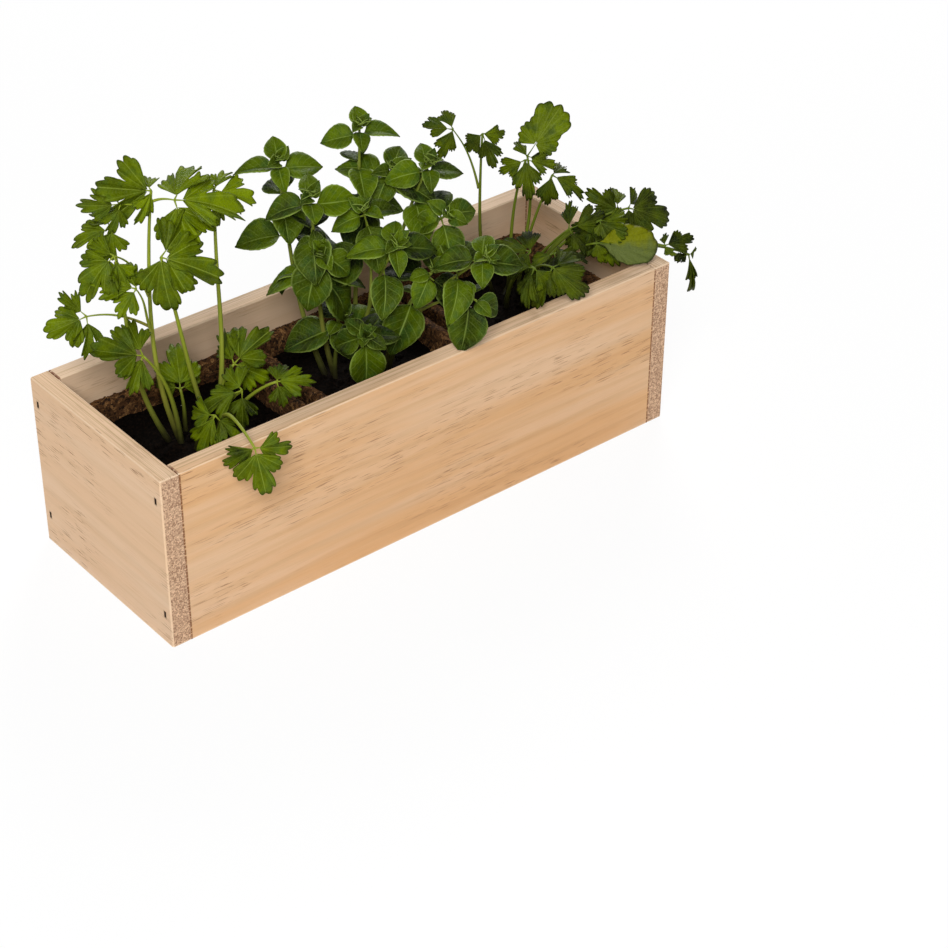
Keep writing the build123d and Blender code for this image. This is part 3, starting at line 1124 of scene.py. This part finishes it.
def stalk_flesh(herb):
    flesh = Finish(herb + "_stalk")
    pale, green, blush = STALK_COLOURS[herb]
    place = flesh.place()
    x, y, z = flesh.parts(place)
    share, rooted, tone = flesh.marks()
    ground = GROUND[herb] / MM
    streak = flesh.noise(flesh.vector(x * 0.9, y * 0.9, z * 0.06), 3.0)
    earth = flesh.noise(place, 3.0, scale=0.5)
    colour = flesh.mix(share.rise(0.0, 0.7) * 0.75 + (1.0 - rooted) * 0.2, pale, green)
    colour = flesh.mix(streak.rise(0.45, 0.75) * 0.5, colour, green)
    colour = flesh.mix(tone.rise(0.45, 1.0) * (1.0 - share.rise(0.1, 0.75)) * 0.55, colour, blush)
    # Painted shade: darker green over the lowest 34 mm above the compost, where the pot and the leaves shade
    # the stalk.
    low = 1.0 - z.rise(ground + 2.0, ground + 34.0)
    colour = flesh.mix(low * 0.85, colour, STALK_SHADE)
    soiled = 1.0 - (z + earth * 8.0).rise(ground + 3.0, ground + 15.0)
    colour = flesh.mix(soiled * 0.9, colour, STALK_SOIL)
    flesh.set(Base_Color=colour, Roughness=0.42 + streak * 0.15, Specular_IOR_Level=0.2)
    flesh.bump(streak, 0.00015, 0.5)
    return flesh.made


STALK_FLESH = {herb: stalk_flesh(herb) for herb in HERBS}
for seed, herb in enumerate(HERBS):
    rng = random.Random(STALK_SEED + seed)
    skin = Skin()
    for line in stems[herb]:
        stalk(skin, herb, line, rng)
    skin.piece(herb + "_stalks", herb + "_pot", herb + "_stems", herb + "_stem", [STALK_FLESH[herb]])
    print(herb, "stalks:", len(stems[herb]))

# %% [markdown]
# ## Lobed leaflets
# A leaflet of parsley or coriander is a fan of three lobes with round teeth. Its grid runs out along the
# spokes from a point near its foot, so every tooth has its own columns. A flat plate with a picture of a leaf
# would need an image, and it would have no teeth from the side.

# %% Fans
Fan = namedtuple("Fan", "heart lobes sinus base slit teeth notch fold wave droop spread")


def lobes(angle, side, middle, halves):
    """Two side lobes and a middle one, each as its angle, its reach and half the angle it covers."""
    return (-angle, side, halves[0]), (0, middle, halves[1]), (angle, side, halves[0])


PARSLEY_FAN = Fan(
    heart=0.22, lobes=lobes(48, 0.60, 0.78, (25, 23)), sinus=0.30, base=0.20, slit=3.4,
    teeth=3, notch=0.17, fold=0.24, wave=0.16, droop=0.24, spread=(0.74, 1.10))
LARGE_FAN = Fan(
    heart=0.16, lobes=lobes(52, 0.62, 0.84, (27, 25)), sinus=0.36, base=0.28, slit=3.2,
    teeth=4, notch=0.12, fold=0.26, wave=0.14, droop=0.22, spread=(0.90, 1.10))
CORIANDER_FAN = Fan(
    heart=0.22, lobes=lobes(43, 0.56, 0.76, (23, 20)), sinus=0.42, base=0.20, slit=5,
    teeth=4, notch=0.12, fold=0.22, wave=0.14, droop=0.26, spread=(0.68, 1.06))
BROAD_FAN = Fan(
    heart=0.10, lobes=lobes(50, 0.62, 0.88, (27, 23)), sinus=0.62, base=0.34, slit=4,
    teeth=5, notch=0.09, fold=0.16, wave=0.08, droop=0.12, spread=(0.85, 1.0))
ROUND_FAN = Fan(
    heart=0.34, lobes=lobes(88, 0.36, 0.64, (46, 42)), sinus=0.46, base=0.30, slit=3,
    teeth=5, notch=0.10, fold=0.12, wave=0.05, droop=0.08, spread=(0.98, 1.02))
ROLLED_FAN = Fan(
    heart=0.12, lobes=lobes(34, 0.50, 0.84, (18, 16)), sinus=0.50, base=0.28, slit=4,
    teeth=4, notch=0.10, fold=0.50, wave=0.06, droop=0.30, spread=(0.32, 0.36))
SMOOTH_FAN = Fan(
    heart=0.48, lobes=lobes(109, 0.31, 0.54, (69, 40)), sinus=0.38, base=0.44, slit=1.2,
    teeth=4, notch=0.02, fold=0.05, wave=0.04, droop=0.10, spread=(0.99, 1.0))
print("fans:", len(PARSLEY_FAN.lobes), "lobes to a leaflet")

# %% A leaflet's grid
FAN_RINGS = 8
TOOTH_COLUMNS = 8
OUTSIDE_SLIT = 3.2


def fan_grid(fan, length, rng, tone):
    """A lobed leaflet along +X with its foot at the origin: rings of points from its heart outwards."""
    last = len(fan.lobes) - 1
    wild = [rng.uniform(0.88, 1.1) for lobe in fan.lobes]
    jags = [rng.uniform(0.5, 1.5) for tooth in range(fan.teeth * len(fan.lobes) + 1)]
    phase = rng.uniform(0, 2 * math.pi)
    bow = fan.droop * rng.uniform(0.2, 2.2)
    heart = fan.heart * rng.uniform(0.3, 1.0)
    cup = rng.uniform(-0.6, 0.35)
    twist = rng.uniform(-0.2, 0.2)
    spread = rng.uniform(*fan.spread)
    sinus = fan.sinus * rng.uniform(0.75, 1.15)
    columns = []
    for k, (angle, reach, half) in enumerate(fan.lobes):
        steps = fan.teeth * TOOTH_COLUMNS
        for step in range(steps + (k == last)):
            x = 2 * step / steps - 1
            tooth = (k + step / steps) * fan.teeth
            outside = (k == 0 and x < 0) or (k == last and x > 0)
            edge = fan.base if outside else sinus
            crown = (1 - abs(x) ** (OUTSIDE_SLIT if outside else fan.slit)) ** 0.55
            dip = abs(2 * (tooth % 1) - 1) ** 1.7 * jags[int(tooth + 0.5)]
            radius = edge + (reach * wild[k] * (1.04 - 0.08 * abs(x)) - edge) * crown
            radius *= 1 - fan.notch * dip * (0.35 + 0.65 * crown)
            columns.append((math.radians(angle + x * half) * spread, radius * length, x, tooth))
    grid = np.zeros((FAN_RINGS, len(columns), 3))
    marks = np.zeros_like(grid)
    for r, rho in enumerate(np.linspace(0.03, 1, FAN_RINGS) ** 0.85):
        for c, (angle, radius, x, tooth) in enumerate(columns):
            away = radius * rho
            u = (heart + (fan.heart - heart) * rho) * length + away * math.cos(angle)
            v = away * math.sin(angle)
            rise = fan.fold * away * abs(x) ** 1.4
            rise += fan.wave * away * rho * math.sin(2.3 * angle + phase)
            rise += 0.02 * length * rho ** 3 * math.sin(tooth * 2 * math.pi)
            rise += twist * v + cup * v * v / length - bow * u * u / length
            grid[r, c] = (u, v, rise)
            marks[r, c] = (tooth / fan.teeth, rho, tone)
    return grid, marks


print("leaflets:", FAN_RINGS, "rings,", TOOTH_COLUMNS, "columns to a tooth")

# %% [markdown]
# ## Oval leaves
# A basil leaf is a pointed oval, folded a little along its middle rib and quilted between its side veins. Its
# grid runs from foot to tip. A subdivided plane with a lattice could be bent the same way, but then every
# leaf would need a lattice of its own.

# %% Oval leaves
OVAL_ROWS = 16
OVAL_COLUMNS = 13
OVAL_WIDTH = 0.66
OVAL_STALK = 0.12
OVAL_FOOT = 0.25 * MM


def oval_grid(length, rng, tone):
    """A basil leaf along +X with its foot at the origin: rows of points from its stalk to its tip."""
    grid = np.zeros((OVAL_ROWS, OVAL_COLUMNS, 3))
    marks = np.zeros_like(grid)
    width = OVAL_WIDTH * length * rng.uniform(0.88, 1.12)
    bow = rng.uniform(0.15, 0.6)
    lift = bow * 0.5
    fold = rng.uniform(0.3, 0.85)
    curl = rng.uniform(0.15, 0.4)
    twist = rng.uniform(-0.35, 0.35)
    sweep = rng.uniform(-0.10, 0.10)
    phase = rng.uniform(0, 1)
    for r, s in enumerate(np.linspace(0, 1, OVAL_ROWS) ** 0.9):
        half = 0.5 * width * 3.0 * s ** 0.60 * (1 - s) ** 0.98 + OVAL_FOOT * (1 - s)
        u = length * (OVAL_STALK + (1 - OVAL_STALK) * s)
        for c, t in enumerate(np.linspace(-1, 1, OVAL_COLUMNS)):
            side = abs(t)
            tooth = 1 + 0.02 * math.sin(s * 40) * side ** 6
            rise = fold * half * side - curl * half * side ** 4
            quilt = math.cos(2 * math.pi * (6 * s - 2 * side)) + 0.4 * math.sin(9 * s + 5 * t + 6 * phase)
            rise += 0.018 * length * math.sin(math.pi * side) * quilt
            rise += lift * u - bow * u * u / length + twist * half * t * s
            grid[r, c] = (u, half * t * tooth + sweep * u * s, rise)
            marks[r, c] = (s, t, tone)
    return grid, marks


print("oval leaves:", OVAL_ROWS, "by", OVAL_COLUMNS, "points")

# %% [markdown]
# ## Leaf finishes
# A leaf is darker between its veins and paler on them, glossier on top and duller below. The marks tell the
# finish where the veins are: on a fan they run out to the teeth, and on an oval they leave the middle rib and
# bend towards the tip. Each leaf also has a tone of its own, from old and dark to young and yellow, and the
# tone also carries painted shade, so veins and pale undersides fade on shaded leaves. Bluish patches are a
# painted sheen. A texture image would have the same veins on every leaf.

# %% Veins
FINE_TEETH = {"parsley": PARSLEY_FAN.teeth, "coriander": CORIANDER_FAN.teeth}


def fan_veins(place, rho, teeth):
    """Main veins along the middle of the lobes, and finer ones to the teeth."""
    main = abs(place.fraction() - 0.5) * rho * float(teeth)
    fine = abs((place * float(teeth)).fraction() - 0.5) * rho
    return (1.0 - main.rise(0.015, 0.06)) * 0.42, (1.0 - fine.rise(0.01, 0.08)) * 0.20


def oval_veins(s, t):
    """The middle rib, and side veins that bend towards the tip."""
    side = abs(t)
    rib = 1.0 - side.rise(0.015, 0.065)
    fine = abs((s * 6.0 - side * 2.0).fraction() - 0.5)
    return rib * 0.6, (1.0 - fine.rise(0.01, 0.10)) * side.rise(0.05, 0.2) * 0.26


print("veins: to", FINE_TEETH, "teeth of each lobe, or off a middle rib")

# %% Leaf finishes
# The blue of each herb is a painted sheen, mixed in as bluish patches.
Greens = namedtuple("Greens", "dark light blue vein under")
GREENS = {
    "parsley": Greens(
        dark=seen(16, 26, 0), light=seen(108, 126, 0), blue=seen(66, 88, 24),
        vein=seen(144, 160, 64), under=seen(90, 106, 26)),
    "basil": Greens(
        dark=seen(7, 15, 0), light=seen(84, 104, 0), blue=seen(46, 74, 26),
        vein=seen(138, 158, 74), under=seen(76, 94, 34)),
    "coriander": Greens(
        dark=seen(4, 8, 0), light=seen(98, 114, 2), blue=seen(34, 56, 22),
        vein=seen(138, 152, 66), under=seen(72, 88, 32)),
}
FADED = seen(88, 98, 48)
YELLOWED = seen(108, 112, 8)
EDGE_TINT = {"parsley": 0.35, "basil": 0.75, "coriander": 0.6}
Side = namedtuple("Side", "name roughness shine veined")
UPPER = Side("upper", 0.32, 0.05, 0.85)
UNDER = Side("under", 0.6, 0.03, 0.5)


def leaf_side(herb, side):
    """One side of a herb's leaves. A tone over 1 is an old leaf, faded and yellowed."""
    greens = GREENS[herb]
    leaf = Finish(f"{herb}_leaf_{side.name}")
    place = leaf.place()
    x, y, z = leaf.parts(place)
    first, second, tone = leaf.marks()
    if herb == "basil":
        rib, fine = oval_veins(first, second)
        edge = abs(second).rise(0.88, 0.99)
    else:
        rib, fine = fan_veins(first, second, FINE_TEETH[herb])
        edge = second.rise(0.93, 1.0)
    veins = rib + fine * (1.0 - rib)
    cloud = leaf.noise(place, 3.0, scale=0.12)
    grain = leaf.noise(place, 3.0, 0.6, 0.8)
    net = leaf.node("TexVoronoi", {"feature": "DISTANCE_TO_EDGE"}, {"Vector": place, "Scale": 0.75})
    patch = leaf.noise(leaf.vector(x * 0.2 + 7.0, y * 0.2, z * 0.2), 2.0)
    # The tone carries painted shade, so veins, sheen and pale undersides also fade on shaded leaves.
    fresh_and_lit = tone.rise(0.0, 0.6) * 0.7 + 0.3
    old = tone.rise(1.2, 1.9)

    colour = leaf.mix(tone * 0.85 + (cloud - 0.5) * 1.3, greens.dark, greens.light)
    # Painted sheen: bluish patches stand in for soft reflections of the light, fainter on shaded leaves.
    colour = leaf.mix(patch.rise(0.45, 0.7) * fresh_and_lit * 0.6, colour, greens.blue)
    colour = leaf.mix(old, colour, leaf.mix((first + patch).rise(1.75, 2.35), FADED, YELLOWED))
    if side is UNDER:
        colour = leaf.mix(fresh_and_lit * 0.65, colour, greens.under)
    colour = leaf.mix(grain.rise(0.5, 0.78) * 0.22, colour, greens.dark)
    colour = leaf.mix((1.0 - net.rise(0.02, 0.12)) * 0.07, colour, greens.vein)
    colour = leaf.mix(veins * (1.0 - old * 0.8) * fresh_and_lit * side.veined, colour, greens.vein)
    colour = leaf.mix(edge * fresh_and_lit * EDGE_TINT[herb], colour, greens.vein if herb == "basil" else greens.dark)

    leaf.set(Base_Color=colour, Roughness=side.roughness + grain * 0.2 + veins * 0.05)
    leaf.set(Specular_IOR_Level=side.shine)
    swell = veins if side is UNDER else 1.0 - veins
    leaf.bump(swell + net.rise(0.0, 0.35) * 0.3 + grain * 0.25, 0.0005, 0.7)
    return leaf.made


LEAF_SIDES = {herb: [leaf_side(herb, UPPER), leaf_side(herb, UNDER), STALK_FLESH[herb]] for herb in HERBS}
print("leaf finishes:", len(LEAF_SIDES) * 2)

# %% [markdown]
# ## Tones and kinds of leaves
# No two leaves are alike. High ones are young and light, and this lighter top is partly painted light. Those
# that others hide from the light get painted shade: their tone is made darker for each leaf on the way to the
# light. Large leaflets are broader, those that hang straight down are rolled, and one low coriander leaf has
# gone yellow, as in the photograph. Picking tones at random alone would be shorter, but then light leaves
# would show in the shade.

# %% Tones and kinds of leaves
LEAF_MIDDLES = np.array([b.foot + b.along * b.length / 2 for herb in HERBS for b in blades[herb]])
CROWD_GAP = 5 * MM
CROWD_REACH = 8 * MM
CROWD_MOST = 4
PAINTED_SHADE_PER_LEAF = 0.23
YOUNG = {"parsley": 0.2, "basil": 0.2, "coriander": 0.07}
TONE_HEIGHT_FROM = 70 * MM
TONE_HEIGHT_RISE = 100 * MM
LIT_AND_YOUNG_BY_HEIGHT = 0.4
YOUNG_BY_CHANCE = (-0.05, 0.6)
LARGE_FROM = 19.5 * MM
BROAD_FROM = 21.5 * MM
ROUND_FROM = 26 * MM
OLD_LEAF_FROM = 28 * MM
HANGING = -0.92


def leaves_before_light(blade):
    """How many leaves stand between this one and the light, up to a few."""
    gaps = LEAF_MIDDLES - blade.foot - blade.along * blade.length / 2
    ahead = gaps @ np.array(WINDOW)
    aside = np.linalg.norm(gaps - np.outer(ahead, WINDOW), axis=1)
    return min(CROWD_MOST, int(np.sum((ahead > CROWD_GAP) & (aside < CROWD_REACH))))


def leaf_tone(herb, blade, rng):
    """From 0, old and dark, to 1, young and light. High leaves are lighter, partly as painted light, leaves
    behind others get painted shade, and 2 is a faded one.
    """
    if herb == "coriander" and blade.length > ROUND_FROM:
        return 2.0 if blade.length > OLD_LEAF_FROM else 1.0
    # High leaves are lighter: young leaves are, and the rest is painted light.
    height = (blade.foot[2] - TONE_HEIGHT_FROM) / TONE_HEIGHT_RISE
    young_and_lit_tone = YOUNG[herb] + LIT_AND_YOUNG_BY_HEIGHT * height + rng.uniform(*YOUNG_BY_CHANCE)
    # Painted shade: each leaf between this one and the light darkens the tone by a step.
    return min(1.0, max(0.0, young_and_lit_tone - PAINTED_SHADE_PER_LEAF * leaves_before_light(blade)))


def fan_of(herb, blade, tone):
    """The shape of a leaflet: most have their herb's own, and the large ones are broader."""
    if herb == "parsley":
        return LARGE_FAN if blade.length > LARGE_FROM else PARSLEY_FAN
    if tone > 1:
        return SMOOTH_FAN
    if blade.along[2] < HANGING:
        return ROLLED_FAN
    if blade.length > ROUND_FROM:
        return ROUND_FAN
    return BROAD_FAN if blade.length > BROAD_FROM else CORIANDER_FAN


shaded = [leaves_before_light(blade) for herb in HERBS for blade in blades[herb]]
print("leaves:", len(shaded), "of which", sum(count > 0 for count in shaded), "have others before the light")

# %% [markdown]
# ## Laying a leaf on its plate
# A leaf is made along +X and then laid on its CAD plate, turned a little at random, because real leaves never
# lie as flat as plates do. A tip that would sink into the front board lies on its rim instead, and the leaves
# of the middle pot stay clear of its neighbours, so that every pot can be lifted out. Collisions could be
# simulated, but two small rules are enough.

# %% Laying a leaf on its plate
LEAF_THICKNESS = 0.34 * MM
LEAF_ROLL = {"parsley": 38, "basil": 23, "coriander": 36}
LEAF_PITCH = 12
NEXT_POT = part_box("coriander_fibre_pot")[0].x - 2 * MM
RIM_LOW, RIM_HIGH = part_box("front_board")
RIM_CATCH = 3 * MM


def swayed(herb, blade, rng):
    """The CAD plate, turned a little at random about its own axes."""
    across = np.cross(blade.normal, blade.along)
    roll = math.radians(rng.uniform(-LEAF_ROLL[herb], LEAF_ROLL[herb]))
    pitch = math.radians(rng.uniform(-LEAF_PITCH, LEAF_PITCH))
    normal = blade.normal * math.cos(roll) + across * math.sin(roll)
    along = blade.along * math.cos(pitch) + normal * math.sin(pitch)
    normal = normal * math.cos(pitch) - blade.along * math.sin(pitch)
    return Blade(blade.foot, along, normal, blade.length)


def placed(points, blade):
    """Lays a leaf that was made along +X on a plate."""
    across = np.cross(blade.normal, blade.along)
    flat = blade.foot + points[..., :1] * blade.along + points[..., 1:2] * across
    return flat + points[..., 2:] * blade.normal


def clear_of_pots(blade):
    """The same leaf of the middle pot, or a shorter one where it would catch a neighbour on its way out."""
    over = abs(blade.foot[0] + blade.along[0] * blade.length) - NEXT_POT
    return blade if over <= 0 else blade._replace(length=blade.length - over / abs(blade.along[0]))


def resting(points):
    """Lays a leaf on the front board where its tip would sink into the rim."""
    over = (points[..., 1] > RIM_LOW.y) & (points[..., 1] < RIM_HIGH.y)
    rest = RIM_HIGH.z + LEAF_THICKNESS
    sunk = over & (points[..., 2] < rest) & (points[..., 2] > RIM_HIGH.z - RIM_CATCH)
    points[..., 2] = np.where(sunk, rest, points[..., 2])
    return points


print("front rim at", round(RIM_HIGH.z / MM, 1), "mm, next pot from", round(NEXT_POT / MM, 1), "mm")

# %% [markdown]
# ## Leaves on their stalks
# Each CAD plate becomes one leaf with its own stalk and rib. The leaves of one stem are one piece, because
# they grow together, and the piece moves with its pot. Young basil tips carry a tuft of tiny leaves that the
# CAD model leaves out. Copies of a few leaves would be lighter, but the eye soon finds what repeats.

# %% A leaf with its rib
RIB_STEPS = 9
RIB_SIDES = 6
RIB_RADIUS = 0.45 * MM
RIB_SINK = 0.12 * MM
RIB_MARK = (0.8, 0, 0)
OVAL_RIB = 0.8
FAN_RIB = 0.6


def rib_line(grid, reach):
    """The middle line of a leaf from its foot, a little under the blade, as far as a share of its length."""
    middle = grid[:, grid.shape[1] // 2]
    keep = middle[middle[:, 0] < reach * middle[-1, 0]]
    line = np.concatenate([[[0, 0, 0]], keep])
    line[1:, 2] -= RIB_SINK
    return even_steps(line, RIB_STEPS)


def grow(skin, herb, blade, rng):
    """Adds the leaf that a CAD plate stands for, with its stalk and its rib."""
    tone = leaf_tone(herb, blade, rng)
    plate = blade if tone > 1 else swayed(herb, blade, rng)
    if herb == "basil":
        plate = clear_of_pots(plate)
        grid, marks = oval_grid(plate.length, rng, tone)
        rib = rib_line(grid, OVAL_RIB)
    else:
        grid, marks = fan_grid(fan_of(herb, blade, tone), plate.length, rng, tone)
        rib = rib_line(grid, FAN_RIB)
    skin.sheet(resting(placed(grid, plate)), marks, LEAF_THICKNESS)
    radii = RIB_RADIUS * (0.25 + 0.75 * np.linspace(1.0, 0.0, len(rib)) ** 3)
    skin.tube(placed(rib, plate), radii, [RIB_MARK] * len(rib), RIB_SIDES, finish=2)


print("ribs:", RIB_STEPS, "rings of", RIB_SIDES, "sides")

# %% Tufts and sprigs
LEAF_SEED = 500
TUFT_LEAVES = 12
TUFT_UPRIGHT = 0.5
TUFT_LENGTH = (3.5 * MM, 8.0 * MM)
TUFT_LEAN = (0.35, 1.0)
TUFT_SINK = 0.6 * MM
TUFT_START = (0.3, 0.8, 0.1)
GOLDEN_TURN = 2.4


def tuft(skin, line, rng):
    """Tiny leaves round the tip of a basil stem, unless it leans out and its own leaves hide them."""
    up = units(line[-1] - line[-2])
    if up[2] < TUFT_UPRIGHT:
        return
    side = units(np.cross(up, TUFT_START))
    foot = line[-1] - up * TUFT_SINK
    for k in range(TUFT_LEAVES):
        turn = k * GOLDEN_TURN + rng.uniform(-0.3, 0.3)
        out = side * math.cos(turn) + np.cross(up, side) * math.sin(turn)
        lean = rng.uniform(*TUFT_LEAN)
        along = units(up + out * lean)
        normal = units(up * lean - out)
        grow(skin, "basil", Blade(foot, along, normal, rng.uniform(*TUFT_LENGTH)), rng)


def nearest_stem(herb, point):
    return min(range(len(stems[herb])), key=lambda k: np.linalg.norm(stems[herb][k] - point, axis=1).min())


for seed, herb in enumerate(HERBS):
    rng = random.Random(LEAF_SEED + seed)
    sprigs = {}
    for blade in blades[herb]:
        sprigs.setdefault(nearest_stem(herb, blade.foot), []).append(blade)
    for k in sorted(sprigs):
        skin = Skin()
        for blade in sprigs[k]:
            grow(skin, herb, blade, rng)
        if herb == "basil":
            tuft(skin, stems[herb][k], rng)
        name = f"{herb}_sprig_{k + 1:02d}"
        skin.piece(name, herb + "_pot", herb + "_leaves", herb + "_leaf", LEAF_SIDES[herb])
    print(herb, "sprigs:", len(sprigs), "with", len(blades[herb]), "leaves")

# %% [markdown]
# ## Sizes
# The looks should leave the object's size as it is. The dressed model's box is printed here, and the CAD
# model's box is kept from the start.

# %% Sizes and finish
low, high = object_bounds()
print("size: from", [round(x, 4) for x in low], "to", [round(x, 4) for x in high])
